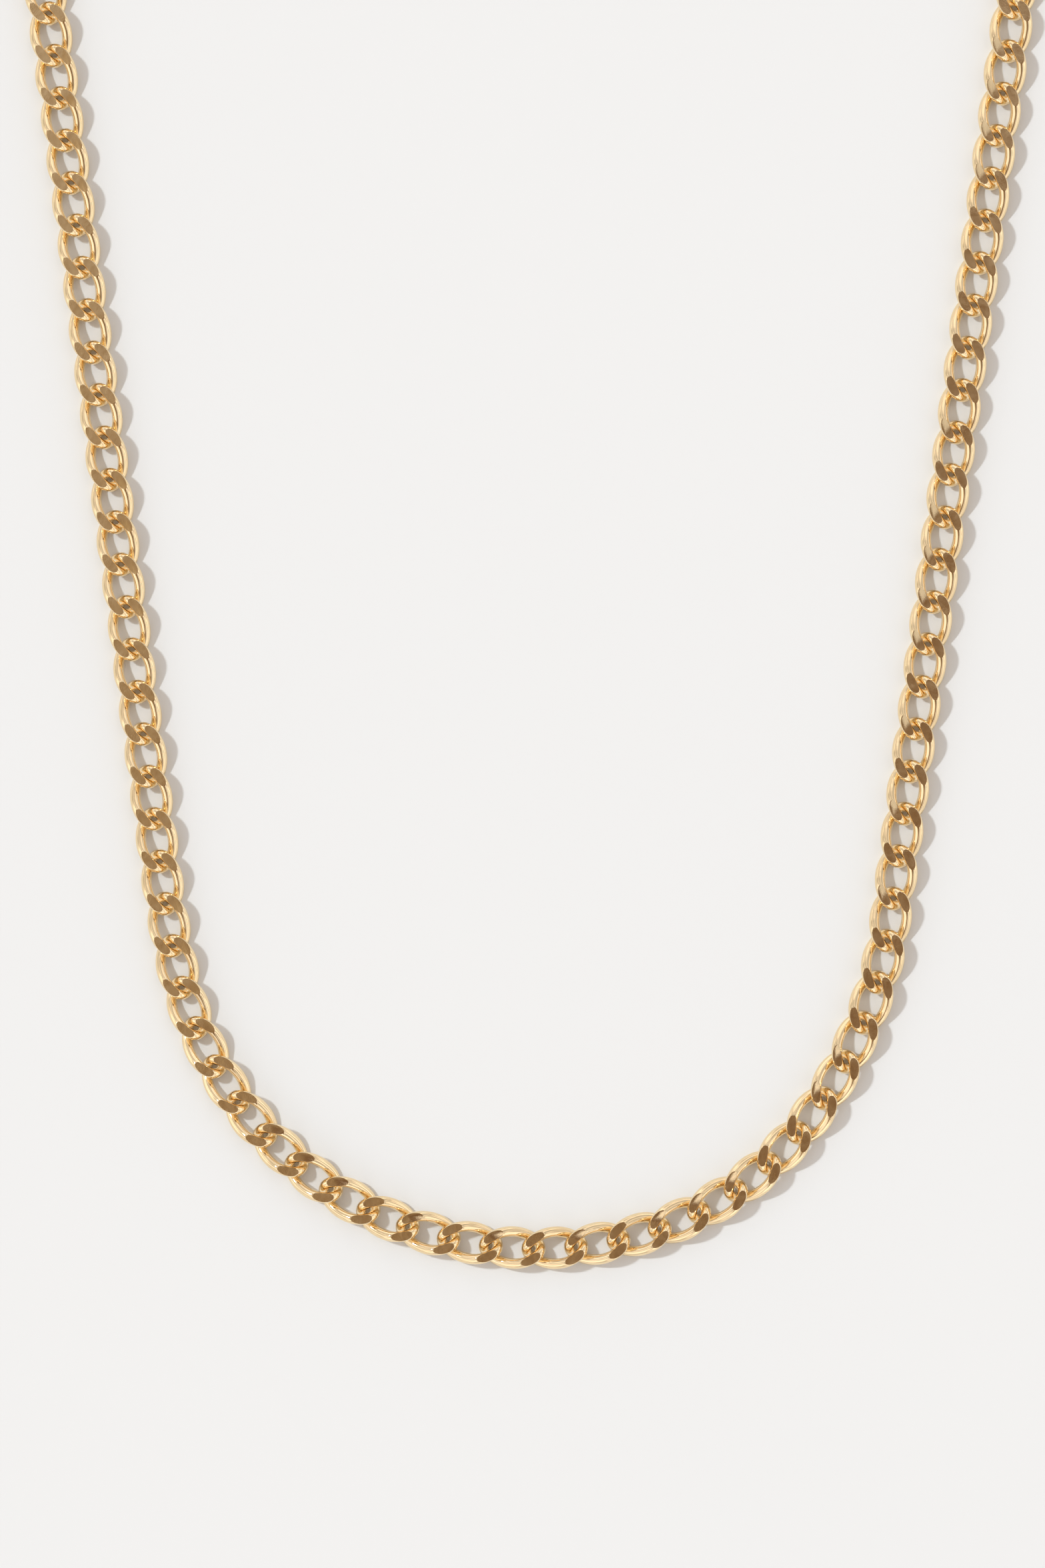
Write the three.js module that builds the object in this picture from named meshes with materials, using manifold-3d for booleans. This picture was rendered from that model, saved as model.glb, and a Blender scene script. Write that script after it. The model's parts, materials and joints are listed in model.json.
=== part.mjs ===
// A chain necklace: a twisted curb chain of rigid links with a lobster clasp, laid flat and unfastened.
// Millimetres and degrees. +Z is up from the surface that the chain lies on, and the chain's lowest bend
// points towards -Y. The links are numbered from the clasp round to the plain end.
import * as THREE from "three";
import { mergeVertices } from "three/addons/utils/BufferGeometryUtils.js";
import Module from "manifold-3d";

const wasm = await Module();
wasm.setup();

// ---- Driving dimensions ----------------------------------------------------------------------------------

const WIRE = 1.2; // diameter of the wire that each link is bent from
const PITCH = 4.65; // from the middle of one link to the middle of the next
const END_PLAY = 0.3; // free length between two hooked links, with the chain lying slack
const SIDE_PLAY = 0.54; // free width on each side of a wire that passes through a link
const TWIST = 48; // how far each end of a link is turned out of the chain's plane
const FULLNESS = 2.4; // superellipse exponent of a link's outline: 2 is an ellipse, more is squarer
const FLAT_DEPTH = 0.22; // metal ground off the crest of each twisted corner
const SOLDER_BITE = 0.15; // how far a bead of solder reaches into each wire that it joins

// Where the chain lies: how many links a stretch has, and how far each of them turns left of the last.
const ROUTE = [
  { links: 15, bend: 6.5 }, // over the back of the neck
  { links: 24, bend: 0 }, // left side
  { links: 2, bend: 2.4 },
  { links: 8, bend: 6.9 },
  { links: 6, bend: 6.3 }, // lowest part
  { links: 5, bend: 7.7 },
  { links: 5, bend: 5.7 },
  { links: 24, bend: 0 }, // right side
  { links: 15, bend: 6.5 }, // back over the neck
];
const FIRST_HEADING = 186.5; // the clasp's end sets off towards -X

const RING_WIRE = 0.7; // wire of the two round rings
const RING_RADIUS = 2.2; // to the middle of their wire
const RING_TILT = 25; // how far a ring leans up from the surface
const RING_REACH = 0.7; // from the middle of the end link's bow to the ring's middle, along the chain
const RING_ASIDE = 0.6; // and across it, so that the ring's high side clears the bow

const CLASP_LENGTH = 11; // from the middle of its eye to its nose
const CLASP_WIDTH = 5.6;
const CLASP_THICKNESS = 2.8;
const CHEEK = 0.5; // each of the two walls beside the lever's slot
const EYE_HOLE = 0.85; // radius of the hole that the clasp hangs by
const EYE_DEPTH = 1.0; // thickness of the eye along its hole
const MOUTH_WIDTH = 2.3; // of the space inside the hook
const MOUTH_LENGTH = 4.6;
const LEVER_HUB = 0.9; // radius of the lever round its pin
const LEVER_OPENING = 24; // how far the lever swings in
const PIN_RADIUS = 0.4;
const PIN_FIT = 0.06; // free radius between the pin and what turns on it
const SPRING_WIRE = 0.16;
const SPRING_TURNS = 2;
const SPRING_PITCH = 0.24; // from one turn of it to the next
const SLOT_GAP = 0.15; // between the lever, the spring and the walls of the slot

const UPRIGHT_HINGES = 4; // round the lowest pair, where links tip straight up
const LINK_SWING = 30; // how far a hooked link turns each way about its neighbour's wire
const RING_SWING = 20;
const CLASP_SWING = 30;

const SECTION_SIDES = 6; // of wire
const LINK_STEPS = 12;
const RING_STEPS = 18;
const ROUND_SIDES = 16; // of pins and holes
const OUTLINE_STEPS = 28; // of the clasp's outline

// ---- Sizes that follow -------------------------------------------------------------------------------------

const LINK_REACH = (PITCH + WIRE + END_PLAY) / 2; // from a link's middle to its wire's middle at the end
const LINK_HALF = WIRE + SIDE_PLAY; // from a link's middle to its wire's middle at the side
const HOOK_DEPTH = LINK_REACH - PITCH / 2; // from where two links hook to the middle of either wire

const radians = THREE.MathUtils.degToRad;
const zAxis = new THREE.Vector3(0, 0, 1);

// ---- Closed meshes and booleans ----------------------------------------------------------------------------

function solidOf(geometry) {
  const bare = geometry.clone();
  bare.deleteAttribute("normal");
  bare.deleteAttribute("uv");
  const merged = mergeVertices(bare, 1e-4);
  const mesh = new wasm.Mesh({
    numProp: 3,
    vertProperties: new Float32Array(merged.attributes.position.array),
    triVerts: new Uint32Array(merged.index.array),
  });
  return new wasm.Manifold(mesh);
}

function geometryOf(solid) {
  const { vertProperties, triVerts } = solid.getMesh();
  const geometry = new THREE.BufferGeometry();
  geometry.setAttribute("position", new THREE.BufferAttribute(new Float32Array(vertProperties), 3));
  geometry.setIndex(new THREE.BufferAttribute(new Uint32Array(triVerts), 1));
  geometry.computeVertexNormals();
  return geometry;
}

// A closed ring of wire round a loop of stations, each with its middle and the two directions of its section.
function wireLoop(stations, radius) {
  const positions = [];
  const faces = [];
  const around = stations.length;
  for (const { middle, out, up } of stations) {
    for (let side = 0; side < SECTION_SIDES; side++) {
      const turn = (2 * Math.PI * side) / SECTION_SIDES;
      const point = middle
        .clone()
        .addScaledVector(out, radius * Math.cos(turn))
        .addScaledVector(up, radius * Math.sin(turn));
      positions.push(point.x, point.y, point.z);
    }
  }
  for (let step = 0; step < around; step++) {
    const here = step * SECTION_SIDES;
    const next = ((step + 1) % around) * SECTION_SIDES;
    for (let side = 0; side < SECTION_SIDES; side++) {
      const beside = (side + 1) % SECTION_SIDES;
      faces.push(here + side, next + side, next + beside);
      faces.push(here + side, next + beside, here + beside);
    }
  }
  const geometry = new THREE.BufferGeometry();
  geometry.setAttribute("position", new THREE.Float32BufferAttribute(positions, 3));
  geometry.setIndex(faces);
  return geometry;
}

// ---- Link --------------------------------------------------------------------------------------------------

// The link's own frame has X along the chain, Y to its left and Z up. A point of its wire's middle line:
function linkPoint(turn) {
  const power = 2 / FULLNESS;
  const along = Math.sign(Math.cos(turn)) * Math.abs(Math.cos(turn)) ** power;
  const across = LINK_HALF * Math.sign(Math.sin(turn)) * Math.abs(Math.sin(turn)) ** power;
  const twist = -radians(TWIST) * along;
  return new THREE.Vector3(LINK_REACH * along, across * Math.cos(twist), across * Math.sin(twist));
}

function linkStations() {
  const stations = [];
  for (let step = 0; step < LINK_STEPS; step++) {
    const turn = (2 * Math.PI * step) / LINK_STEPS;
    const middle = linkPoint(turn);
    const tangent = linkPoint(turn + 0.01).sub(linkPoint(turn - 0.01)).normalize();
    const out = new THREE.Vector3().crossVectors(tangent, zAxis).normalize();
    const up = new THREE.Vector3().crossVectors(out, tangent);
    stations.push({ middle, out, up });
  }
  return stations;
}

const stations = linkStations();
const crest = Math.max(...stations.map((station) => station.middle.z)) + WIRE / 2;
const HALF_THICKNESS = crest - FLAT_DEPTH; // from the chain's middle plane to its ground flats

// The twisted wire, with whatever stands above or below the ground flats pressed back to them.
function linkSolid() {
  const geometry = wireLoop(stations, WIRE / 2);
  const points = geometry.attributes.position;
  for (let i = 0; i < points.count; i++) {
    points.setZ(i, THREE.MathUtils.clamp(points.getZ(i), -HALF_THICKNESS, HALF_THICKNESS));
  }
  return solidOf(geometry);
}

// Two links as one piece, hooked at the origin of their frame and held there by a bead of solder.
function linkPair(bend) {
  const link = linkSolid();
  const turned = (side) =>
    link.rotate([0, 0, (side * bend) / 2]).translate([
      (side * PITCH * Math.cos(radians(bend / 2))) / 2,
      (PITCH * Math.sin(radians(bend / 2))) / 2,
      0,
    ]);
  const bead = solidOf(new THREE.OctahedronGeometry(END_PLAY / 2 + SOLDER_BITE, 0));
  return turned(-1).add(turned(1)).add(bead);
}

// ---- Route -------------------------------------------------------------------------------------------------

// Every place where two links hook, with the heading before it and the bend there.
function hooks() {
  const places = [];
  let heading = FIRST_HEADING;
  const point = new THREE.Vector2(0, 0);
  for (const stretch of ROUTE) {
    for (let link = 0; link < stretch.links; link++) {
      const bend = places.length ? stretch.bend : 0;
      places.push({ point: point.clone(), before: heading, bend });
      heading += bend;
      point.x += PITCH * Math.cos(radians(heading));
      point.y += PITCH * Math.sin(radians(heading));
    }
  }
  places.push({ point: point.clone(), before: heading, bend: 0 });
  return places;
}

// ---- Rings -------------------------------------------------------------------------------------------------

// An end's own frame has its origin on the surface under the end link's middle and X out of the chain.
const RING_MIDDLE = new THREE.Vector3(
  LINK_REACH + RING_REACH,
  RING_ASIDE,
  RING_WIRE / 2 + RING_RADIUS * Math.sin(radians(RING_TILT)),
);

function ringStations() {
  const stations = [];
  for (let step = 0; step < RING_STEPS; step++) {
    const out = new THREE.Vector3(1, 0, 0).applyAxisAngle(zAxis, (2 * Math.PI * step) / RING_STEPS);
    stations.push({ middle: out.clone().multiplyScalar(RING_RADIUS), out, up: zAxis });
  }
  return stations;
}

function ringSolid() {
  const { x, y, z } = RING_MIDDLE;
  return solidOf(wireLoop(ringStations(), RING_WIRE / 2)).rotate([RING_TILT, 0, 0]).translate([x, y, z]);
}

// ---- Clasp -------------------------------------------------------------------------------------------------

// The clasp's own frame has its origin on the surface under the middle of its eye and X towards its nose.
const EYE_RADIUS = CLASP_THICKNESS / 2;
const CLASP_PLACE = new THREE.Vector3(RING_MIDDLE.x + RING_RADIUS, RING_MIDDLE.y, 0);
const MOUTH_MIDDLE = CLASP_LENGTH - 1.1 - MOUTH_LENGTH / 2; // 1.1 of metal stays beyond the mouth
const MOUTH_BACK = MOUTH_MIDDLE - MOUTH_LENGTH / 2;
const GATE_BACK = MOUTH_BACK + 0.3;
const GATE_FRONT = MOUTH_MIDDLE + MOUTH_LENGTH / 4;
const PIN_PLACE = new THREE.Vector2(MOUTH_BACK - 1.6, CLASP_WIDTH / 4);
const SLOT_BACK = PIN_PLACE.x - LEVER_HUB - 2 * SLOT_GAP;
const SLOT_FLOOR = PIN_PLACE.y - LEVER_HUB - 0.75; // deep enough for the plate's underside when it is open
const LEVER_BASE = CHEEK + SLOT_GAP;
const SPRING_TOP = CLASP_THICKNESS - LEVER_BASE;
const SPRING_BASE = SPRING_TOP - SPRING_WIRE - SPRING_TURNS * SPRING_PITCH;
const LEVER_TOP = SPRING_BASE - SLOT_GAP; // the lever fills what the spring leaves of the slot

function extruded(shape, bottom, top) {
  const options = { depth: top - bottom, bevelEnabled: false, curveSegments: ROUND_SIDES / 4 };
  return solidOf(new THREE.ExtrudeGeometry(shape, options)).translate([0, 0, bottom]);
}

function outlineOf(points) {
  return new THREE.Shape(points.map(([x, y]) => new THREE.Vector2(x, y)));
}

function block(low, high) {
  return extruded(
    outlineOf([[low[0], low[1]], [high[0], low[1]], [high[0], high[1]], [low[0], high[1]]]),
    low[2],
    high[2],
  );
}

function upright(radius, bottom, top) {
  const post = new THREE.CylinderGeometry(radius, radius, top - bottom, ROUND_SIDES);
  return solidOf(post)
    .rotate([90, 0, 0])
    .translate([PIN_PLACE.x, PIN_PLACE.y, (top + bottom) / 2]);
}

// One side of the teardrop, as shares of its length and of half its width. It starts inside the eye's wall.
const TEARDROP = [[0, 0.28], [0.15, 0.64], [0.35, 0.93], [0.55, 1], [0.75, 0.88], [0.91, 0.55]];
const TEARDROP_BACK = EYE_HOLE + (2 / 3) * (EYE_RADIUS - EYE_HOLE);

function teardrop() {
  const length = CLASP_LENGTH - TEARDROP_BACK;
  const left = TEARDROP.map(
    ([along, out]) => new THREE.Vector2(TEARDROP_BACK + along * length, (out * CLASP_WIDTH) / 2),
  );
  const right = left.map((point) => new THREE.Vector2(point.x, -point.y));
  const nose = new THREE.Vector2(CLASP_LENGTH, 0);
  const curve = new THREE.SplineCurve([...right, nose, ...left.reverse()]);
  return new THREE.Shape(curve.getPoints(OUTLINE_STEPS));
}

function mouth() {
  const half = MOUTH_WIDTH / 2;
  const shape = new THREE.Shape();
  shape.absarc(MOUTH_MIDDLE + MOUTH_LENGTH / 2 - half, 0, half, -Math.PI / 2, Math.PI / 2);
  shape.absarc(MOUTH_MIDDLE - MOUTH_LENGTH / 2 + half, 0, half, Math.PI / 2, (3 * Math.PI) / 2);
  return shape;
}

function eyeSolid() {
  const shape = new THREE.Shape().absarc(0, 0, EYE_RADIUS, 0, 2 * Math.PI);
  shape.holes.push(new THREE.Path().absarc(0, 0, EYE_HOLE, 0, 2 * Math.PI, true));
  return extruded(shape, -EYE_DEPTH / 2, EYE_DEPTH / 2).rotate([90, 0, 0]).translate([0, 0, EYE_RADIUS]);
}

function claspBody() {
  const high = CLASP_THICKNESS + 1;
  const slot = block(
    [SLOT_BACK, SLOT_FLOOR, CHEEK],
    [GATE_BACK, CLASP_WIDTH, CLASP_THICKNESS - CHEEK],
  );
  return extruded(teardrop(), 0, CLASP_THICKNESS)
    .add(eyeSolid())
    .subtract(extruded(mouth(), -1, high))
    .subtract(block([GATE_BACK, 0, -1], [GATE_FRONT, CLASP_WIDTH, high]))
    .subtract(slot)
    .subtract(upright(PIN_RADIUS + PIN_FIT, -1, high));
}

function claspLever() {
  const inside = MOUTH_WIDTH / 2 + 0.1;
  const outside = 0.86 * (CLASP_WIDTH / 2);
  const tip = GATE_FRONT - SLOT_GAP;
  const thumb = CLASP_WIDTH / 2 + 0.8;
  const front = GATE_BACK + SLOT_GAP;
  const plate = outlineOf([
    [PIN_PLACE.x, PIN_PLACE.y - LEVER_HUB],
    [front, inside - 0.35],
    [tip, inside],
    [tip, outside],
    [front + 0.5, outside + 0.25],
    [front - 0.3, thumb],
    [front - 1.2, thumb],
    [PIN_PLACE.x, PIN_PLACE.y + LEVER_HUB],
  ]);
  const bar = outlineOf([
    [front + 0.4, inside - 0.3],
    [tip, inside],
    [tip, outside],
    [front + 0.5, outside + 0.25],
  ]);
  return extruded(plate, LEVER_BASE, LEVER_TOP)
    .add(upright(LEVER_HUB, LEVER_BASE, LEVER_TOP))
    .add(extruded(bar, LEVER_BASE, SPRING_TOP))
    .subtract(upright(PIN_RADIUS + PIN_FIT, 0, CLASP_THICKNESS));
}

class SpringPath extends THREE.Curve {
  getPoint(share, target = new THREE.Vector3()) {
    const radius = PIN_RADIUS + PIN_FIT + SPRING_WIRE;
    const turn = 2 * Math.PI * SPRING_TURNS * share;
    return target.set(
      PIN_PLACE.x + radius * Math.cos(turn),
      PIN_PLACE.y + radius * Math.sin(turn),
      SPRING_BASE + SPRING_WIRE / 2 + SPRING_TURNS * SPRING_PITCH * share,
    );
  }
}

function claspSpring() {
  const section = new THREE.Shape().absarc(0, 0, SPRING_WIRE / 2, 0, 2 * Math.PI);
  const steps = 12 * SPRING_TURNS;
  const options = { extrudePath: new SpringPath(), steps, curveSegments: SECTION_SIDES, bevelEnabled: false };
  return solidOf(new THREE.ExtrudeGeometry(section, options));
}

// ---- Assembly ----------------------------------------------------------------------------------------------

const gold = () => new THREE.MeshStandardMaterial({ color: 0xe8b45a, roughness: 0.12, metalness: 1 });
const steel = () => new THREE.MeshStandardMaterial({ color: 0xc9ccd0, roughness: 0.3, metalness: 1 });

const places = hooks();
const pairs = (places.length - 1) / 2;
const MIDDLE_PAIR = Math.ceil(pairs / 2) + 1; // every joint leads away from this one
const pairName = (number) => "links_" + String(number).padStart(2, "0");

function named(name, solid, material) {
  const mesh = new THREE.Mesh(geometryOf(solid), material);
  mesh.name = name;
  return mesh;
}

function pairMesh(number) {
  const place = places[2 * number - 1];
  const mesh = named(pairName(number), linkPair(place.bend), gold());
  mesh.position.set(place.point.x, place.point.y, HALF_THICKNESS);
  mesh.rotation.z = radians(place.before + place.bend / 2);
  return mesh;
}

// A group in an end's own frame. The first link is met from its other end, which is the same by symmetry.
function endGroup(point, outward) {
  const group = new THREE.Group();
  group.rotation.z = radians(outward);
  group.position.set(
    point.x - (PITCH / 2) * Math.cos(radians(outward)),
    point.y - (PITCH / 2) * Math.sin(radians(outward)),
    0,
  );
  return group;
}

const last = places.length - 1;
const claspEnd = endGroup(places[0].point, places[1].before + 180);
const plainEnd = endGroup(places[last].point, places[last].before);

const clasp = new THREE.Group();
clasp.position.copy(CLASP_PLACE);
clasp.add(
  named("clasp_body", claspBody(), gold()),
  named("clasp_lever", claspLever(), gold()),
  named("clasp_pin", upright(PIN_RADIUS, 0, CLASP_THICKNESS), gold()),
  named("clasp_spring", claspSpring(), steel()),
);
claspEnd.add(named("clasp_ring", ringSolid(), gold()), clasp);
plainEnd.add(named("end_ring", ringSolid(), gold()));

const laid = new THREE.Group();
for (let number = 1; number <= pairs; number++) {
  laid.add(pairMesh(number));
}
laid.add(claspEnd, plainEnd);

// ---- Joints ------------------------------------------------------------------------------------------------

// A link swings on the wire of the neighbour that it hooks into, the one nearer the lowest pair. The joints
// about the lowest pair tip straight up instead, because either wire there would carry one half of the necklace
// through the other. Positive turns lift and lower the links by turns.
function linkJoint(number) {
  const place = places[2 * number];
  const away = number >= MIDDLE_PAIR;
  const lowest = Math.abs(number + 0.5 - MIDDLE_PAIR) < UPRIGHT_HINGES / 2;
  const outward = away ? 1 : -1;
  const side = lowest ? 0 : outward;
  const heading = radians(place.before + ((1 - side) / 2) * place.bend);
  const lean = radians(TWIST) * side;
  const sense = number % 2 === 1 ? 1 : -1;
  return {
    name: "swing_" + String(number).padStart(2, "0"),
    parent: pairName(away ? number : number + 1),
    child: pairName(away ? number + 1 : number),
    point: new THREE.Vector3(
      place.point.x + side * HOOK_DEPTH * Math.cos(heading),
      place.point.y + side * HOOK_DEPTH * Math.sin(heading),
      HALF_THICKNESS,
    ),
    axis: new THREE.Vector3(
      -Math.sin(heading) * Math.cos(lean),
      Math.cos(heading) * Math.cos(lean),
      -Math.sin(lean),
    ).multiplyScalar(sense),
    degrees: [-LINK_SWING, LINK_SWING],
  };
}

function jointIn(group, name, parent, child, point, axis, degrees) {
  group.updateWorldMatrix(true, false);
  return {
    name,
    parent,
    child,
    point: point.clone().applyMatrix4(group.matrixWorld),
    axis: axis.clone().transformDirection(group.matrixWorld),
    degrees,
  };
}

function ringJoint(group, link, ring) {
  const wire = new THREE.Vector3(LINK_REACH, 0, HALF_THICKNESS);
  const along = new THREE.Vector3(0, Math.cos(radians(TWIST)), -Math.sin(radians(TWIST)));
  return jointIn(group, ring + "_swing", link, ring, wire, along, [-RING_SWING, RING_SWING]);
}

const ringFar = RING_MIDDLE.clone().add(new THREE.Vector3(RING_RADIUS, 0, 0));
const ringAlong = new THREE.Vector3(0, Math.cos(radians(RING_TILT)), Math.sin(radians(RING_TILT)));
const pinPoint = new THREE.Vector3(PIN_PLACE.x, PIN_PLACE.y, CLASP_THICKNESS / 2);

laid.updateMatrixWorld(true);
const joints = [
  ...Array.from({ length: pairs - 1 }, (_, i) => linkJoint(i + 1)),
  ringJoint(claspEnd, pairName(1), "clasp_ring"),
  ringJoint(plainEnd, pairName(pairs), "end_ring"),
  jointIn(claspEnd, "clasp_swing", "clasp_ring", "clasp", ringFar, ringAlong, [-CLASP_SWING, CLASP_SWING]),
  jointIn(clasp, "lever_swing", "clasp", "lever", pinPoint, zAxis, [-LEVER_OPENING, 0]),
];

// ---- Origin ------------------------------------------------------------------------------------------------

// The origin is under the middle of the whole necklace.
const middle = new THREE.Box3().setFromObject(laid, true).getCenter(new THREE.Vector3());
laid.position.set(-middle.x, -middle.y, 0);
for (const joint of joints) {
  joint.point.add(laid.position);
}

const necklace = new THREE.Group();
necklace.add(laid);
necklace.userData.joints = joints;

export default necklace;
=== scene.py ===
"""A gold curb chain necklace with a lobster clasp, laid flat and unfastened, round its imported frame.

Every length is in metres, in the frame's own axes: +Z up from the surface, the lowest bend towards -Y.
"""

import json
import math

import bmesh
import bpy
from bpy.props import FloatProperty, FloatVectorProperty, IntProperty, PointerProperty
from mathutils import Matrix, Vector


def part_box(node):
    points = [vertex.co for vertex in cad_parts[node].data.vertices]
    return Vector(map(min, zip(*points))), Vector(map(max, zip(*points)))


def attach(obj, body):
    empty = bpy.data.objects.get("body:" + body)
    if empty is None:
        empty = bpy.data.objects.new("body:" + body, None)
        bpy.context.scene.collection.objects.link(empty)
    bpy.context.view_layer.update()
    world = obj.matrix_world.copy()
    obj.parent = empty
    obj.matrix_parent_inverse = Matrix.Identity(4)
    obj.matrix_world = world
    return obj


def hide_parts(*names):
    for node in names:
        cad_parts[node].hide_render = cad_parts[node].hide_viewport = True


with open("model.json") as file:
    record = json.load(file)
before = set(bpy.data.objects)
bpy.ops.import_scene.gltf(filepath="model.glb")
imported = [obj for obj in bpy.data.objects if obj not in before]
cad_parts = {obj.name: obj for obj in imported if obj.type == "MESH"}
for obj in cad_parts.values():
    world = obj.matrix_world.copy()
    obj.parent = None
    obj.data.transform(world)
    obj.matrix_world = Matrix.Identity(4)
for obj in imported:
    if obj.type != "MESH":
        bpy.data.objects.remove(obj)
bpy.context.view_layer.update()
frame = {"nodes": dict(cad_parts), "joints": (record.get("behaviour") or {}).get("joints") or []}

bl_info = {
    "name": "Curb Chain Necklace",
    "version": (1, 0, 0),
    "blender": (4, 5, 0),
    "location": "3D View > Sidebar > Necklace",
    "description": "Builds a twisted curb chain with its rings, its lobster clasp and a plain stage",
    "category": "Object",
}

MM = 0.001
PAIRS = sum(name.startswith("links_") for name in frame["nodes"])
MIDDLE_PAIR = math.ceil(PAIRS / 2) + 1
HALF_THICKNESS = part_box(f"links_{MIDDLE_PAIR:02d}")[1].z / 2

# Where the chain lies: how many links a stretch has, and how far each of them turns left of the last.
FIRST_HEADING = 186.5
ROUTE = (
    (15, 6.5),  # over the back of the neck
    (24, 0.0),  # left side
    (2, 2.4),
    (8, 6.9),
    (6, 6.3),  # lowest part
    (5, 7.7),
    (5, 5.7),
    (24, 0.0),  # right side
    (15, 6.5),  # back over the neck
)


# ---- Sizes and colours ---------------------------------------------------------------------------------------


class ChainSizes(bpy.types.PropertyGroup):
    """The links that the chain is made of."""

    wire: FloatProperty(name="Wire", description="Diameter of the wire of a link",
                        default=1.16 * MM, unit="LENGTH", precision=5)
    pitch: FloatProperty(name="Pitch", description="From the middle of one link to the middle of the next",
                         default=4.65 * MM, unit="LENGTH", precision=5)
    end_play: FloatProperty(name="End Play", description="Free length between two hooked links",
                            default=0.34 * MM, unit="LENGTH", precision=5)
    side_play: FloatProperty(name="Side Play", description="Free width beside a wire inside a link",
                             default=0.58 * MM, unit="LENGTH", precision=5)
    twist: FloatProperty(name="Twist", description="How far each end of a link is turned out of its plane",
                         default=math.radians(48), subtype="ANGLE")
    fullness: FloatProperty(name="Fullness", description="2 is an oval link, more is squarer",
                            default=2.4, min=1.5, max=6)
    cut_tilt: FloatProperty(name="Cut Tilt", description="How far the ground flats stray from level",
                            default=math.radians(3.0), subtype="ANGLE")
    roll: FloatProperty(name="Roll", description="How far a link rolls about the chain",
                        default=math.radians(2.0), subtype="ANGLE")
    steps: IntProperty(name="Steps", description="Steps round a link", default=72, min=12)
    sides: IntProperty(name="Sides", description="Sides of a wire's section", default=24, min=6)


class EndSizes(bpy.types.PropertyGroup):
    """The two rings and the clasp."""

    ring_wire: FloatProperty(name="Ring Wire", description="Diameter of the rings' wire",
                             default=0.7 * MM, unit="LENGTH", precision=5)
    ring_radius: FloatProperty(name="Ring Radius", description="To the middle of a ring's wire",
                               default=2.2 * MM, unit="LENGTH", precision=5)
    ring_tilt: FloatProperty(name="Ring Tilt", description="How far a ring leans up from the surface",
                             default=math.radians(25), subtype="ANGLE")
    ring_reach: FloatProperty(name="Ring Reach", description="From the end link's bow to the ring's middle",
                              default=0.7 * MM, unit="LENGTH", precision=5)
    ring_aside: FloatProperty(name="Ring Aside", description="From the chain's line to the ring's middle",
                              default=0.6 * MM, unit="LENGTH", precision=5)
    spring_wire: FloatProperty(name="Spring Wire", description="Diameter of the clasp spring's wire",
                               default=0.16 * MM, unit="LENGTH", precision=5)
    spring_turns: IntProperty(name="Spring Turns", description="Turns of the clasp's spring", default=2, min=1)
    grain: FloatProperty(name="Casting Grain", description="Finest step of the cast clasp's surface",
                         default=0.06 * MM, unit="LENGTH", precision=6)
    softening: IntProperty(name="Softening", description="How far the casting's edges are tumbled round",
                           default=28, min=0)


class GoldFinish(bpy.types.PropertyGroup):
    """The polished metal."""

    colour: FloatVectorProperty(name="Colour", description="Colour of the polished metal",
                                subtype="COLOR", size=3, default=(0.92, 0.70, 0.40), min=0, max=1)
    pale: FloatVectorProperty(name="Pale Colour", description="Colour where the plating is paler",
                              subtype="COLOR", size=3, default=(0.96, 0.78, 0.50), min=0, max=1)
    polish: FloatProperty(name="Polish Roughness", description="Roughness of the best polished metal",
                          default=0.05, min=0, max=1)
    haze: FloatProperty(name="Haze Roughness", description="Roughness where handling has dulled the polish",
                        default=0.15, min=0, max=1)
    ground: FloatProperty(name="Ground Roughness", description="Extra roughness of the links' flats",
                          default=0.07, min=0, max=1)


class StageSettings(bpy.types.PropertyGroup):
    """The floor, the light and the camera."""

    floor: FloatVectorProperty(name="Floor", description="Colour of the floor",
                               subtype="COLOR", size=3, default=(0.782, 0.792, 0.789), min=0, max=1)
    walls: FloatVectorProperty(name="Walls", description="Colour of the light from low down all round",
                               subtype="COLOR", size=3, default=(1.0, 0.94, 0.91), min=0, max=1)
    near: FloatVectorProperty(name="Overhead", description="Colour of the dark space over the camera",
                              subtype="COLOR", size=3, default=(0.17, 0.095, 0.052), min=0, max=1)
    near_left: FloatVectorProperty(name="Overhead Left", description="Colour of the dark space's left side",
                                   subtype="COLOR", size=3, default=(0.44, 0.33, 0.21), min=0, max=1)
    wall_light: FloatProperty(name="Wall Light", description="Strength of the light from low down",
                              default=1.15)
    ceiling_light: FloatProperty(name="Ceiling Light", description="Strength of the light from high up",
                                 default=0.9)
    sun: FloatProperty(name="Key Strength", description="Strength of the small key light", default=1.6)
    sun_angle: FloatProperty(name="Key Size", description="How wide the key light looks from the chain",
                             default=math.radians(5), subtype="ANGLE")
    view_height: FloatProperty(name="View Height", description="Length of floor seen from top to bottom",
                               default=170.76 * MM, unit="LENGTH")
    view_below: FloatProperty(name="View Below", description="Floor seen below the chain's lowest link",
                              default=32.6 * MM, unit="LENGTH")
    view_aside: FloatProperty(name="View Aside", description="From the middle of the chain to that of the view",
                              default=-0.9 * MM, unit="LENGTH")
    camera_height: FloatProperty(name="Camera Height", description="Height of the camera over the floor",
                                 default=0.8, unit="LENGTH")


# ---- Node tree helpers ---------------------------------------------------------------------------------------


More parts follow.
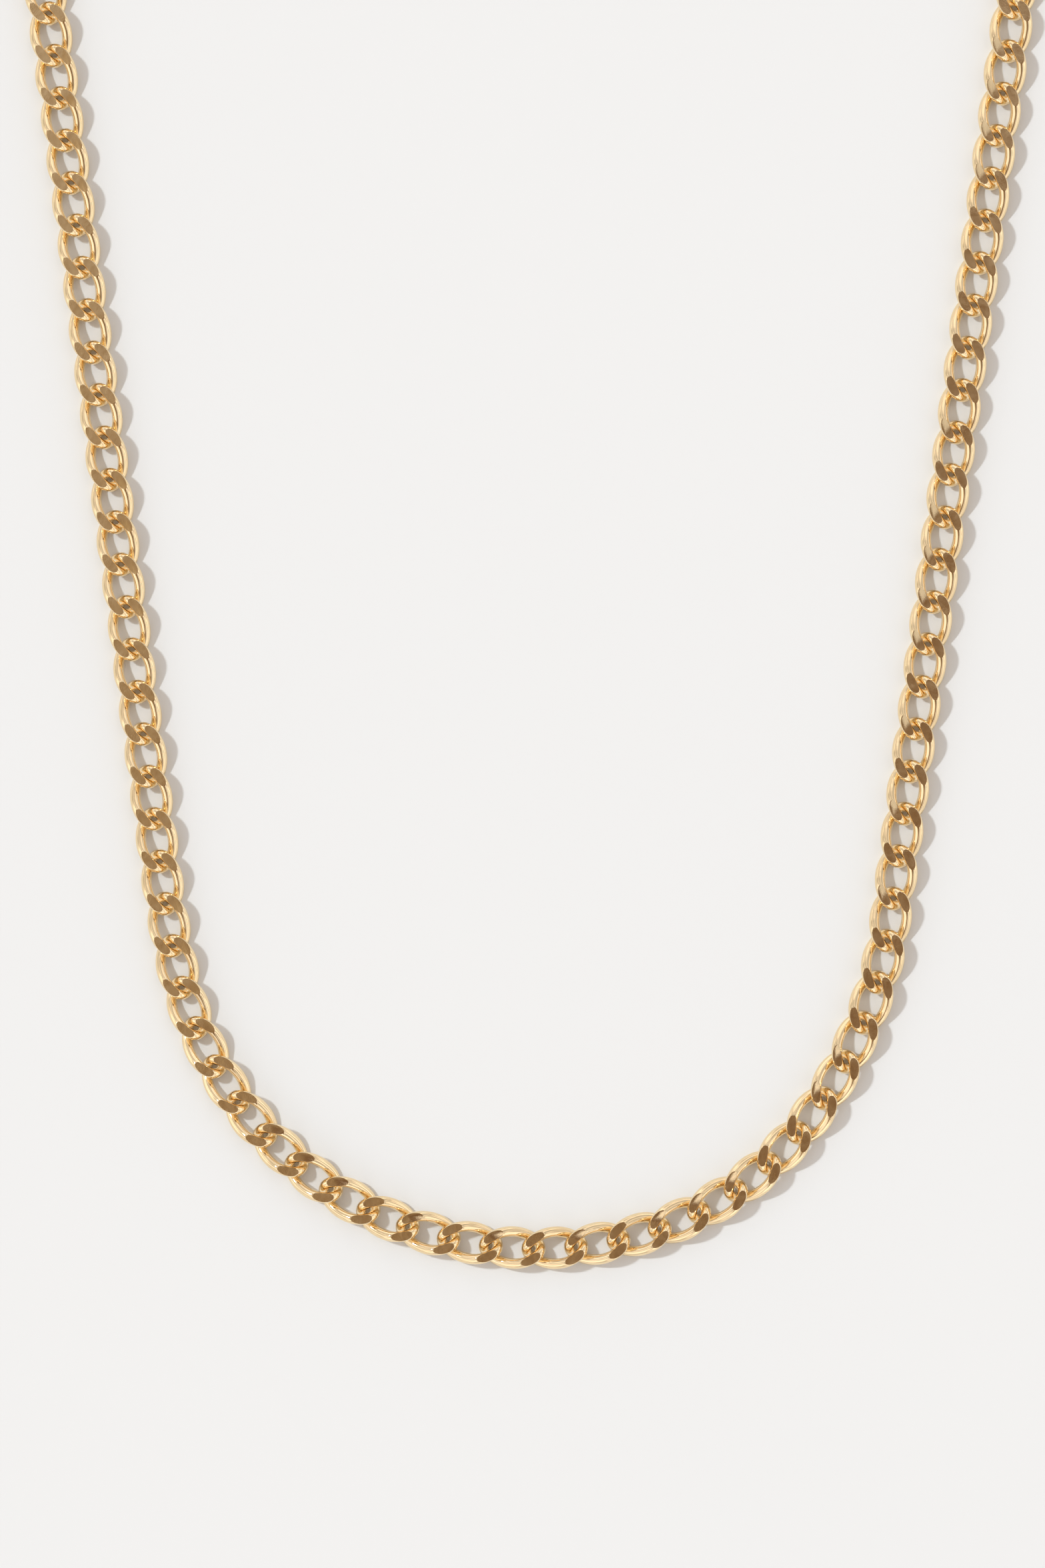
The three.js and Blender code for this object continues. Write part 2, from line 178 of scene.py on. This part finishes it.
class Tree:
    """Adds nodes to a node tree and joins them up."""

    def __init__(self, nodes):
        self.tree = nodes

    def feed(self, socket, value):
        if isinstance(value, bpy.types.NodeSocket):
            self.tree.links.new(value, socket)
        else:
            socket.default_value = value

    def add(self, kind, inputs=(), output=0, **settings):
        node = self.tree.nodes.new(kind)
        for name, value in settings.items():
            setattr(node, name, value)
        pairs = inputs.items() if isinstance(inputs, dict) else enumerate(inputs)
        for name, value in pairs:
            self.feed(node.inputs[name], value)
        return node.outputs[output]

    def maths(self, operation, *values):
        return self.add("ShaderNodeMath", values, operation=operation)

    def mix_colour(self, share, low, high):
        """Fades from one colour to the other."""
        node = self.add("ShaderNodeMix", data_type="RGBA", output=2).node
        self.feed(node.inputs[0], share)
        for socket, colour in ((node.inputs[6], low), (node.inputs[7], high)):
            self.feed(socket, colour if isinstance(colour, bpy.types.NodeSocket) else (*colour, 1.0))
        return node.outputs[2]

    def vector(self, x=0.0, y=0.0, z=0.0):
        return self.add("ShaderNodeCombineXYZ", (x, y, z))


def new_geometry_tree(name, inputs):
    """A geometry tree with the named inputs, as (Tree, sockets by name, output node, identifiers by name)."""
    group = bpy.data.node_groups.new(name, "GeometryNodeTree")
    identifiers = {}
    for label, kind in inputs:
        socket = group.interface.new_socket(label, in_out="INPUT", socket_type=kind)
        identifiers[label] = socket.identifier
    group.interface.new_socket("Geometry", in_out="OUTPUT", socket_type="NodeSocketGeometry")
    source = group.nodes.new("NodeGroupInput")
    sockets = {label: source.outputs[label] for label, _ in inputs}
    result = group.nodes.new("NodeGroupOutput")
    return Tree(group), sockets, result, identifiers


# ---- Link tree -----------------------------------------------------------------------------------------------

LINK_INPUTS = (
    ("Reach", "NodeSocketFloat"),
    ("Half Width", "NodeSocketFloat"),
    ("Wire Radius", "NodeSocketFloat"),
    ("Twist", "NodeSocketFloat"),
    ("Fullness", "NodeSocketFloat"),
    ("Half Thickness", "NodeSocketFloat"),
    ("Half Pitch", "NodeSocketFloat"),
    ("Cut Tilt", "NodeSocketFloat"),
    ("Roll", "NodeSocketFloat"),
    ("Steps", "NodeSocketInt"),
    ("Sides", "NodeSocketInt"),
    ("Bend", "NodeSocketFloat"),
    ("Heading", "NodeSocketFloat"),
    ("Place", "NodeSocketVector"),
    ("Seed", "NodeSocketInt"),
    ("Material", "NodeSocketMaterial"),
)
SHARP_EDGE = math.radians(22)
GROUND = "ground"  # 1 on the faces that grinding has cut
CREST_ALONG = 0.73  # where a link's crest lies, as a share of its reach
CREST_ACROSS = 0.64  # and of its half width
CUTTER_SIZE = 0.98  # side of the block over a crest, as a share of the reach
ROLL_ID = 7  # keeps a link's roll apart from the tilts of its flats


def wire_loop(tree, given):
    """The middle line of a link's wire: a full oval whose ends are twisted out of its plane."""
    index = tree.add("GeometryNodeInputIndex")
    turn = tree.maths("DIVIDE", tree.maths("MULTIPLY", index, math.tau), given["Steps"])
    power = tree.maths("DIVIDE", 2.0, given["Fullness"])

    def rounded(share):
        return tree.maths("MULTIPLY", tree.maths("SIGN", share),
                          tree.maths("POWER", tree.maths("ABSOLUTE", share), power))

    along = rounded(tree.maths("COSINE", turn))
    across = tree.maths("MULTIPLY", rounded(tree.maths("SINE", turn)), given["Half Width"])
    twist = tree.maths("MULTIPLY", tree.maths("MULTIPLY", along, given["Twist"]), -1.0)
    position = tree.vector(
        tree.maths("MULTIPLY", along, given["Reach"]),
        tree.maths("MULTIPLY", across, tree.maths("COSINE", twist)),
        tree.maths("MULTIPLY", across, tree.maths("SINE", twist)),
    )
    circle = tree.add("GeometryNodeCurvePrimitiveCircle", {"Resolution": given["Steps"], "Radius": 1.0})
    loop = tree.add("GeometryNodeSetPosition", {"Geometry": circle, "Position": position})
    return tree.add("GeometryNodeResampleCurve", {"Curve": loop, "Count": given["Steps"]})


def ground_cutter(tree, given, seed, corner):
    """A block over one crest of a link, tilted a little as hand grinding leaves it."""
    along, over = corner
    low = tree.maths("MULTIPLY", given["Cut Tilt"], -1.0)
    tilt = tree.add("FunctionNodeRandomValue", data_type="FLOAT_VECTOR").node
    tree.feed(tilt.inputs["Min"], tree.vector(low, low, 0.0))
    tree.feed(tilt.inputs["Max"], tree.vector(given["Cut Tilt"], given["Cut Tilt"], 0.0))
    tree.feed(tilt.inputs["ID"], 2 * (along + 1) + over + 1)
    tree.feed(tilt.inputs["Seed"], seed)
    block = tree.add("GeometryNodeMeshCube", {"Size": (1.0, 1.0, 1.0)})
    block = tree.add("GeometryNodeStoreNamedAttribute", {"Geometry": block, "Name": GROUND, "Value": 1.0},
                     data_type="FLOAT", domain="FACE")
    sized = tree.add("GeometryNodeTransform", {
        "Geometry": block,
        "Translation": (0.0, 0.0, over * 0.5),
    })
    width = tree.maths("MULTIPLY", given["Reach"], CUTTER_SIZE)
    scale = tree.vector(width, width, width)
    sized = tree.add("GeometryNodeTransform", {"Geometry": sized, "Scale": scale})
    crest = tree.vector(
        tree.maths("MULTIPLY", given["Reach"], CREST_ALONG * along),
        tree.maths("MULTIPLY", given["Half Width"], -CREST_ACROSS * along * over),
        tree.maths("MULTIPLY", given["Half Thickness"], float(over)),
    )
    return tree.add("GeometryNodeTransform", {
        "Geometry": sized,
        "Translation": crest,
        "Rotation": tilt.outputs["Value"],
    })


def one_link(tree, given, seed):
    """A link's closed wire with its four crests ground flat and its sharp edges marked."""
    section = tree.add("GeometryNodeCurvePrimitiveCircle",
                       {"Resolution": given["Sides"], "Radius": given["Wire Radius"]})
    wire = tree.add("GeometryNodeCurveToMesh",
                    {"Curve": wire_loop(tree, given), "Profile Curve": section})
    cutters = tree.tree.nodes.new("GeometryNodeJoinGeometry")
    for corner in ((-1, -1), (-1, 1), (1, -1), (1, 1)):
        tree.tree.links.new(ground_cutter(tree, given, seed, corner), cutters.inputs[0])
    ground = tree.add("GeometryNodeMeshBoolean",
                      {"Mesh 1": wire, "Mesh 2": cutters.outputs[0]}, operation="DIFFERENCE", solver="EXACT")
    smooth = tree.add("GeometryNodeSetShadeSmooth", {"Geometry": ground, "Shade Smooth": True})
    angle = tree.add("GeometryNodeInputMeshEdgeAngle")
    sharp = tree.add("FunctionNodeCompare", (angle, SHARP_EDGE), data_type="FLOAT", operation="GREATER_THAN")
    return tree.add("GeometryNodeStoreNamedAttribute",
                    {"Geometry": smooth, "Name": "sharp_edge", "Value": sharp},
                    data_type="BOOLEAN", domain="EDGE")


def link_pair_tree():
    """Two neighbouring links at a place on the chain, as one geometry tree."""
    tree, given, result, identifiers = new_geometry_tree("Curb Link Pair", LINK_INPUTS)
    joined = tree.tree.nodes.new("GeometryNodeJoinGeometry")
    half_bend = tree.maths("DIVIDE", given["Bend"], 2.0)
    for side in (-1, 1):
        seed = tree.maths("ADD", tree.maths("MULTIPLY", given["Seed"], 2.0), float(side))
        roll = tree.add("FunctionNodeRandomValue", data_type="FLOAT").node
        tree.feed(roll.inputs[2], tree.maths("MULTIPLY", given["Roll"], -1.0))
        tree.feed(roll.inputs[3], given["Roll"])
        tree.feed(roll.inputs["ID"], ROLL_ID)
        tree.feed(roll.inputs["Seed"], seed)
        rolled = tree.add("GeometryNodeTransform", {
            "Geometry": one_link(tree, given, seed),
            "Rotation": tree.vector(roll.outputs[1]),
        })
        placed = tree.add("GeometryNodeTransform", {
            "Geometry": rolled,
            "Translation": tree.vector(
                tree.maths("MULTIPLY", tree.maths("MULTIPLY", given["Half Pitch"], float(side)),
                           tree.maths("COSINE", half_bend)),
                tree.maths("MULTIPLY", given["Half Pitch"], tree.maths("SINE", half_bend)),
            ),
            "Rotation": tree.vector(z=tree.maths("MULTIPLY", half_bend, float(side))),
        })
        tree.tree.links.new(placed, joined.inputs[0])
    laid = tree.add("GeometryNodeTransform", {
        "Geometry": joined.outputs[0],
        "Translation": given["Place"],
        "Rotation": tree.vector(z=given["Heading"]),
    })
    real = tree.add("GeometryNodeRealizeInstances", {"Geometry": laid})
    dressed = tree.add("GeometryNodeSetMaterial", {"Geometry": real, "Material": given["Material"]})
    tree.feed(result.inputs[0], dressed)
    return tree.tree, identifiers


# ---- Route ---------------------------------------------------------------------------------------------------


def hooks():
    """Every place where two links hook, as (point, heading before it, bend there), in the frame."""
    pitch = bpy.context.scene.chain_sizes.pitch
    places = []
    heading = FIRST_HEADING
    point = Vector((0.0, 0.0, 0.0))
    for links, bend in ROUTE:
        for _ in range(links):
            here = bend if places else 0.0
            places.append((point.copy(), heading, here))
            heading += here
            point += pitch * Vector((math.cos(math.radians(heading)), math.sin(math.radians(heading)), 0.0))
    places.append((point.copy(), heading, 0.0))
    lowest = next(joint for joint in frame["joints"] if joint["name"] == f"swing_{MIDDLE_PAIR:02d}")
    shift = Vector(lowest["pos_m"]) - places[2 * MIDDLE_PAIR][0]
    return [(point + shift, heading, bend) for point, heading, bend in places]


# ---- Materials -----------------------------------------------------------------------------------------------


STEEL_COLOURS = ((0.55, 0.56, 0.58), (0.64, 0.65, 0.66))
STEEL_ROUGHNESS = (0.18, 0.32)


def new_material(name):
    """A material with an empty tree but for its output, as (material, Tree, output node)."""
    material = bpy.data.materials.new(name)
    material.use_nodes = True
    material.node_tree.nodes.clear()
    output = material.node_tree.nodes.new("ShaderNodeOutputMaterial")
    return material, Tree(material.node_tree), output


def metal(name, colours, roughness, ground=0.0):
    """Polished metal: paler and deeper patches, a light haze, soft waves and a fine grain."""
    material, tree, output = new_material(name)
    place = tree.add("ShaderNodeTexCoord", output="Object")
    patches = tree.add("ShaderNodeTexNoise", {"Vector": place, "Scale": 260.0, "Detail": 3.0})
    colour = tree.mix_colour(patches, *colours)
    flats = tree.add("ShaderNodeAttribute", output="Fac", attribute_name=GROUND)
    smears = tree.add("ShaderNodeTexNoise", {"Vector": place, "Scale": 900.0, "Detail": 6.0, "Roughness": 0.65})
    rough = tree.add("ShaderNodeMapRange", {
        "Value": smears, "From Min": 0.4, "From Max": 0.75, "To Min": roughness[0], "To Max": roughness[1],
    })
    rough = tree.maths("ADD", rough, tree.maths("MULTIPLY", flats, ground))
    waves = tree.add("ShaderNodeTexNoise", {"Vector": place, "Scale": 1100.0, "Detail": 1.0})
    grain = tree.add("ShaderNodeTexNoise", {"Vector": place, "Scale": 9000.0, "Detail": 3.0, "Roughness": 0.7})
    grinding = tree.maths("MULTIPLY", tree.maths("MULTIPLY", grain, flats), 0.5)
    height = tree.maths("ADD", waves, tree.maths("ADD", tree.maths("MULTIPLY", grain, 0.03), grinding))
    bump = tree.add("ShaderNodeBump", {"Strength": 0.25, "Distance": 0.00005, "Height": height})
    shader = tree.add("ShaderNodeBsdfPrincipled", {
        "Base Color": colour, "Metallic": 1.0, "Roughness": rough, "Normal": bump,
    })
    tree.feed(output.inputs["Surface"], shader)
    return material


def gold_material():
    """Mirror polished yellow gold, made once."""
    finish = bpy.context.scene.gold_finish
    made = bpy.data.materials.get("polished_gold")
    if made:
        return made
    return metal("polished_gold", (finish.colour, finish.pale), (finish.polish, finish.haze), finish.ground)


def steel_material():
    """Bright drawn spring wire."""
    return metal("spring_wire", STEEL_COLOURS, STEEL_ROUGHNESS)


def floor_material():
    """A plain pale floor with a barely visible unevenness."""
    settings = bpy.context.scene.necklace_stage
    material, tree, output = new_material("pale_floor")
    place = tree.add("ShaderNodeTexCoord", output="Object")
    cloud = tree.add("ShaderNodeTexNoise", {"Vector": place, "Scale": 9.0, "Detail": 2.0})
    colour = tree.mix_colour(cloud, settings.floor, [0.99 * part for part in settings.floor])
    shader = tree.add("ShaderNodeBsdfPrincipled", {"Base Color": colour, "Roughness": 0.9})
    shader.node.inputs["Specular IOR Level"].default_value = 0.1
    tree.feed(output.inputs["Surface"], shader)
    return material


# ---- Making and placing pieces -------------------------------------------------------------------------------


def put_out(name, mesh, body, slot, *nodes):
    """Adds a finished mesh as a piece that rides on a body and stands for CAD nodes."""
    piece = bpy.data.objects.new(name, mesh)
    bpy.context.scene.collection.objects.link(piece)
    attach(piece, body)
    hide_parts(*nodes)


def evaluated_mesh(maker, name):
    """A plain copy of what a working object's modifiers make."""
    maker.update_tag()
    depsgraph = bpy.context.evaluated_depsgraph_get()
    depsgraph.update()
    mesh = bpy.data.meshes.new_from_object(maker.evaluated_get(depsgraph))
    mesh.name = name
    return mesh


class NECKLACE_OT_links(bpy.types.Operator):
    """Make the links of the chain, two to a body"""

    bl_idname = "necklace.links"
    bl_label = "Links"

    def execute(self, context):
        sizes = context.scene.chain_sizes
        group, identifiers = link_pair_tree()
        maker = bpy.data.objects.new("link_maker", bpy.data.meshes.new("link_maker"))
        context.scene.collection.objects.link(maker)
        modifier = maker.modifiers.new("Links", "NODES")
        modifier.node_group = group
        fixed = {
            "Reach": (sizes.pitch + sizes.wire + sizes.end_play) / 2,
            "Half Width": sizes.wire + sizes.side_play,
            "Wire Radius": sizes.wire / 2,
            "Twist": sizes.twist,
            "Fullness": sizes.fullness,
            "Half Thickness": HALF_THICKNESS,
            "Half Pitch": sizes.pitch / 2,
            "Cut Tilt": sizes.cut_tilt,
            "Roll": sizes.roll,
            "Steps": sizes.steps,
            "Sides": sizes.sides,
            "Material": gold_material(),
        }
        for label, value in fixed.items():
            modifier[identifiers[label]] = value
        places = hooks()
        for number in range(1, PAIRS + 1):
            point, before, bend = places[2 * number - 1]
            modifier[identifiers["Bend"]] = math.radians(bend)
            modifier[identifiers["Heading"]] = math.radians(before + bend / 2)
            modifier[identifiers["Place"]] = tuple(point)
            modifier[identifiers["Seed"]] = number
            mesh = evaluated_mesh(maker, f"gold_links_{number:02d}")
            put_out(mesh.name, mesh, f"links_{number:02d}", "gold", f"links_{number:02d}")
        maker.modifiers.remove(modifier)
        bpy.data.objects.remove(maker)
        return {"FINISHED"}


def end_frame(at_clasp):
    """The place of an end of the chain: on the surface under its last link's middle, X pointing out of it."""
    places = hooks()
    half_pitch = bpy.context.scene.chain_sizes.pitch / 2
    point, heading, _ = places[0] if at_clasp else places[-1]
    outward = math.radians(places[1][1] + 180 if at_clasp else heading)
    point = point - half_pitch * Vector((math.cos(outward), math.sin(outward), 0.0))
    point.z = 0.0
    return Matrix.Translation(point) @ Matrix.Rotation(outward, 4, "Z")


RING_STEPS = 96
RING_SIDES = 32


def wire_mesh(name, points, radius, sides, closed):
    """A smooth round wire along some points, closed on itself or with flat ends."""
    curve = bpy.data.curves.new(name, "CURVE")
    curve.dimensions = "3D"
    spline = curve.splines.new("POLY")
    spline.points.add(len(points) - 1)
    for place, point in zip(spline.points, points):
        place.co = (*point, 1.0)
    spline.use_cyclic_u = closed
    spline.use_smooth = True
    curve.bevel_depth = radius
    curve.bevel_resolution = sides // 4 - 1
    curve.use_fill_caps = not closed
    holder = bpy.data.objects.new(name, curve)
    mesh = bpy.data.meshes.new_from_object(holder)
    bpy.data.objects.remove(holder)
    bpy.data.curves.remove(curve)
    form = bmesh.new()
    form.from_mesh(mesh)
    bmesh.ops.remove_doubles(form, verts=form.verts, dist=radius / 1000)
    bmesh.ops.recalc_face_normals(form, faces=form.faces)
    form.to_mesh(mesh)
    form.free()
    mesh.name = name
    return mesh


class NECKLACE_OT_rings(bpy.types.Operator):
    """Make the soldered ring at each end of the chain"""

    bl_idname = "necklace.rings"
    bl_label = "Rings"

    def execute(self, context):
        chain, ends = context.scene.chain_sizes, context.scene.end_sizes
        reach = (chain.pitch + chain.wire + chain.end_play) / 2
        rise = ends.ring_wire / 2 + ends.ring_radius * math.sin(ends.ring_tilt)
        middle = Matrix.Translation((reach + ends.ring_reach, ends.ring_aside, rise))
        for node, at_clasp in (("clasp_ring", True), ("end_ring", False)):
            place = end_frame(at_clasp) @ middle @ Matrix.Rotation(ends.ring_tilt, 4, "X")
            points = [place @ (ends.ring_radius * Vector((math.cos(turn), math.sin(turn), 0.0)))
                      for turn in (math.tau * step / RING_STEPS for step in range(RING_STEPS))]
            mesh = wire_mesh(f"gold_{node}", points, ends.ring_wire / 2, RING_SIDES, closed=True)
            mesh.materials.append(gold_material())
            put_out(mesh.name, mesh, node, "gold", node)
        return {"FINISHED"}


def cast_mesh(node, ends):
    """A CAD node's shape as a casting: one fine closed skin whose edges are tumbled round."""
    source = frame["nodes"][node]
    form = bmesh.new()
    form.from_mesh(source.data)
    bmesh.ops.remove_doubles(form, verts=form.verts, dist=0.001 * MM)
    rough = bpy.data.meshes.new(node + "_rough")
    form.to_mesh(rough)
    form.free()
    maker = bpy.data.objects.new(node + "_maker", rough)
    bpy.context.scene.collection.objects.link(maker)
    skin = maker.modifiers.new("Skin", "REMESH")
    skin.mode = "VOXEL"
    skin.voxel_size = ends.grain
    skin.use_smooth_shade = True
    soft = maker.modifiers.new("Soft", "SMOOTH")
    soft.factor = 0.5
    soft.iterations = ends.softening
    mesh = evaluated_mesh(maker, f"gold_{node}")
    bpy.data.objects.remove(maker)
    mesh.materials.clear()
    mesh.materials.append(gold_material())
    return mesh


class NECKLACE_OT_clasp(bpy.types.Operator):
    """Make the clasp's cast body and its lever"""

    bl_idname = "necklace.clasp"
    bl_label = "Clasp"

    def execute(self, context):
        for node, body in (("clasp_body", "clasp"), ("clasp_lever", "lever")):
            mesh = cast_mesh(node, context.scene.end_sizes)
            put_out(mesh.name, mesh, body, "gold", node)
        return {"FINISHED"}


PIN_SIDES = 48
PIN_DOME = 0.05 * MM  # rise of a pin's peened ends
SPRING_STEPS = 40  # to a turn
SPRING_SIDES = 16


class NECKLACE_OT_pin_and_spring(bpy.types.Operator):
    """Make the pin that the clasp's lever turns on and the spring round it"""

    bl_idname = "necklace.pin_and_spring"
    bl_label = "Pin and Spring"

    def execute(self, context):
        ends = context.scene.end_sizes
        add_pin()
        add_spring(ends.spring_wire / 2, ends.spring_turns)
        return {"FINISHED"}


def add_spring(half, turns):
    """A coil round the pin, as tall and wide as the space that the clasp leaves it."""
    low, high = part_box("clasp_spring")
    middle = (low + high) / 2
    radius = (high.x - low.x) / 2 - half
    rise = high.z - low.z - 2 * half
    steps = SPRING_STEPS * turns
    points = []
    for step in range(steps + 1):
        turn = math.tau * step / SPRING_STEPS
        points.append(Vector((
            middle.x + radius * math.cos(turn),
            middle.y + radius * math.sin(turn),
            low.z + half + rise * step / steps,
        )))
    mesh = wire_mesh("spring_coil", points, half, SPRING_SIDES, closed=False)
    mesh.materials.append(steel_material())
    put_out(mesh.name, mesh, "clasp", "spring_steel", "clasp_spring")


def add_pin():
    """A turned pin whose two ends are peened into low domes."""
    low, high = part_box("clasp_pin")
    middle = (low + high) / 2
    radius = (high.x - low.x) / 2
    edge = radius / 5
    outline = [(0.0, 0.0), (radius - 2 * edge, PIN_DOME / 4), (radius - edge / 2, PIN_DOME), (radius, edge)]
    length = high.z - low.z
    outline += [(out, length - up) for out, up in reversed(outline)]
    form = bmesh.new()
    rings = []
    for out, up in outline:
        if out == 0.0:
            rings.append([form.verts.new((middle.x, middle.y, low.z + up))])
            continue
        ring = []
        for side in range(PIN_SIDES):
            turn = math.tau * side / PIN_SIDES
            place = (middle.x + out * math.cos(turn), middle.y + out * math.sin(turn), low.z + up)
            ring.append(form.verts.new(place))
        rings.append(ring)
    for below, above in zip(rings, rings[1:]):
        for side in range(PIN_SIDES):
            after = (side + 1) % PIN_SIDES
            corners = (below[side % len(below)], below[after % len(below)],
                       above[after % len(above)], above[side % len(above)])
            face = form.faces.new(list(dict.fromkeys(corners)))
            face.smooth = True
    bmesh.ops.recalc_face_normals(form, faces=form.faces)
    mesh = bpy.data.meshes.new("gold_clasp_pin")
    form.to_mesh(mesh)
    form.free()
    mesh.materials.append(gold_material())
    put_out(mesh.name, mesh, "clasp", "gold", "clasp_pin")


class NECKLACE_OT_stage(bpy.types.Operator):
    """Make the pale floor, the soft light and the camera"""

    bl_idname = "necklace.stage"
    bl_label = "Stage"

    def execute(self, context):
        settings = context.scene.necklace_stage
        add_floor()
        add_room(settings)
        add_lights(settings)
        add_camera(settings)
        context.scene.view_settings.view_transform = "Standard"
        return {"FINISHED"}


FLOOR_SIDE = 6.0


def add_floor():
    """A wide flat floor."""
    floor = bpy.data.objects.new("floor", bpy.data.meshes.new("floor"))
    form = bmesh.new()
    bmesh.ops.create_grid(form, x_segments=1, y_segments=1, size=FLOOR_SIDE / 2)
    form.to_mesh(floor.data)
    form.free()
    floor.data.materials.append(floor_material())
    bpy.context.scene.collection.objects.link(floor)


KEY_DIRECTION = Vector((-0.60, 0.28, 0.75))  # towards the light
SHADE_MIDDLE = (0.02, -0.34)  # of the dark space, as the X and Y of the direction to it
SHADE_REACH = (0.27, 0.56)


def add_room(settings):
    """Light from all round, with a dark space from overhead down to the side that the chain is seen from."""
    world = bpy.data.worlds.new("soft_room")
    world.use_nodes = True
    world.node_tree.nodes.clear()
    tree = Tree(world.node_tree)
    direction = tree.add("ShaderNodeTexCoord", output="Generated")
    parts = tree.add("ShaderNodeSeparateXYZ", (direction,)).node.outputs
    level = tree.add("ShaderNodeMapRange", {
        "Value": parts["Z"], "From Min": 0.45, "From Max": 0.85,
        "To Min": settings.wall_light, "To Max": settings.ceiling_light,
    })
    things = tree.add("ShaderNodeTexNoise", {"Vector": direction, "Scale": 2.6, "Detail": 2.0})
    uneven = tree.add("ShaderNodeMapRange", {
        "Value": things, "From Min": 0.40, "From Max": 0.60, "To Min": 0.55, "To Max": 1.22,
    })
    level = tree.maths("MULTIPLY", level, uneven)
    squares = []
    for axis, middle, reach in zip("XY", SHADE_MIDDLE, SHADE_REACH):
        off = tree.maths("DIVIDE", tree.maths("SUBTRACT", parts[axis], middle), reach)
        squares.append(tree.maths("MULTIPLY", off, off))
    away = tree.maths("ADD", *squares)
    below = tree.maths("LESS_THAN", parts["Z"], 0.0)
    shade = tree.add("ShaderNodeMapRange", {
        "Value": tree.maths("ADD", away, tree.maths("MULTIPLY", below, 9.0)),
        "From Min": 0.75, "From Max": 1.1, "To Min": 1.0, "To Max": 0.0,
    }, interpolation_type="SMOOTHSTEP")
    leftwards = tree.add("ShaderNodeMapRange", {
        "Value": parts["X"], "From Min": 0.03, "From Max": -0.11, "To Min": 0.0, "To Max": 1.0,
    })
    dark = tree.mix_colour(leftwards, settings.near, settings.near_left)
    colour = tree.mix_colour(shade, settings.walls, dark)
    strength = tree.add("ShaderNodeMix", data_type="FLOAT").node
    tree.feed(strength.inputs[0], shade)
    tree.feed(strength.inputs[2], level)
    tree.feed(strength.inputs[3], 1.0)
    light = tree.add("ShaderNodeBackground", {"Color": colour, "Strength": strength.outputs[0]})
    output = world.node_tree.nodes.new("ShaderNodeOutputWorld")
    tree.feed(output.inputs["Surface"], light)
    bpy.context.scene.world = world


def add_lights(settings):
    """One small bright light from the upper left."""
    light = bpy.data.lights.new("key_light", "SUN")
    light.energy = settings.sun
    light.angle = settings.sun_angle
    light.color = (0.93, 1.0, 1.05)
    lamp = bpy.data.objects.new("key_light", light)
    lamp.rotation_euler = (-KEY_DIRECTION).to_track_quat("-Z", "Y").to_euler()
    bpy.context.scene.collection.objects.link(lamp)


SENSOR = 36.0  # millimetres on the picture's long side
SIDE_PAIR = 10  # on the left side, as far from its end as its mirror on the right side


def add_camera(settings):
    """A long lens straight above the front of the chain."""
    sides = [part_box(f"links_{number:02d}") for number in (SIDE_PAIR, PAIRS + 1 - SIDE_PAIR)]
    middle = sum((low.x + high.x) / 2 for low, high in sides) / len(sides)
    lowest = min(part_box(f"links_{number:02d}")[0].y for number in range(1, PAIRS + 1))
    camera = bpy.data.objects.new("camera", bpy.data.cameras.new("camera"))
    camera.data.sensor_width = SENSOR
    camera.data.lens = SENSOR * settings.camera_height / settings.view_height
    camera.data.clip_start = 0.01
    centre_y = lowest - settings.view_below + settings.view_height / 2
    camera.location = (middle + settings.view_aside, centre_y, settings.camera_height)
    bpy.context.scene.collection.objects.link(camera)
    bpy.context.scene.camera = camera


class NECKLACE_PT_panel(bpy.types.Panel):
    """Lists what the necklace is made of"""

    bl_label = "Necklace"
    bl_idname = "NECKLACE_PT_panel"
    bl_space_type = "VIEW_3D"
    bl_region_type = "UI"
    bl_category = "Necklace"

    def draw(self, context):
        for title, group, operators in (
            ("Chain", context.scene.chain_sizes, (NECKLACE_OT_links,)),
            ("Ends", context.scene.end_sizes,
             (NECKLACE_OT_rings, NECKLACE_OT_clasp, NECKLACE_OT_pin_and_spring)),
            ("Gold", context.scene.gold_finish, ()),
            ("Stage", context.scene.necklace_stage, (NECKLACE_OT_stage,)),
        ):
            box = self.layout.box()
            box.label(text=title)
            for name in group.__annotations__:
                box.prop(group, name)
            for operator in operators:
                box.operator(operator.bl_idname)


GROUPS = {
    "chain_sizes": ChainSizes,
    "end_sizes": EndSizes,
    "gold_finish": GoldFinish,
    "necklace_stage": StageSettings,
}
OPERATORS = (
    NECKLACE_OT_links,
    NECKLACE_OT_rings,
    NECKLACE_OT_clasp,
    NECKLACE_OT_pin_and_spring,
    NECKLACE_OT_stage,
)
CLASSES = (*GROUPS.values(), *OPERATORS, NECKLACE_PT_panel)


def register():
    for cls in CLASSES:
        bpy.utils.register_class(cls)
    for name, group in GROUPS.items():
        setattr(bpy.types.Scene, name, PointerProperty(type=group))


def unregister():
    for name in GROUPS:
        delattr(bpy.types.Scene, name)
    for cls in reversed(CLASSES):
        bpy.utils.unregister_class(cls)


def main():
    register()
    bpy.ops.necklace.links()
    bpy.ops.necklace.rings()
    bpy.ops.necklace.clasp()
    bpy.ops.necklace.pin_and_spring()
    bpy.ops.necklace.stage()


if __name__ == "__main__":
    main()
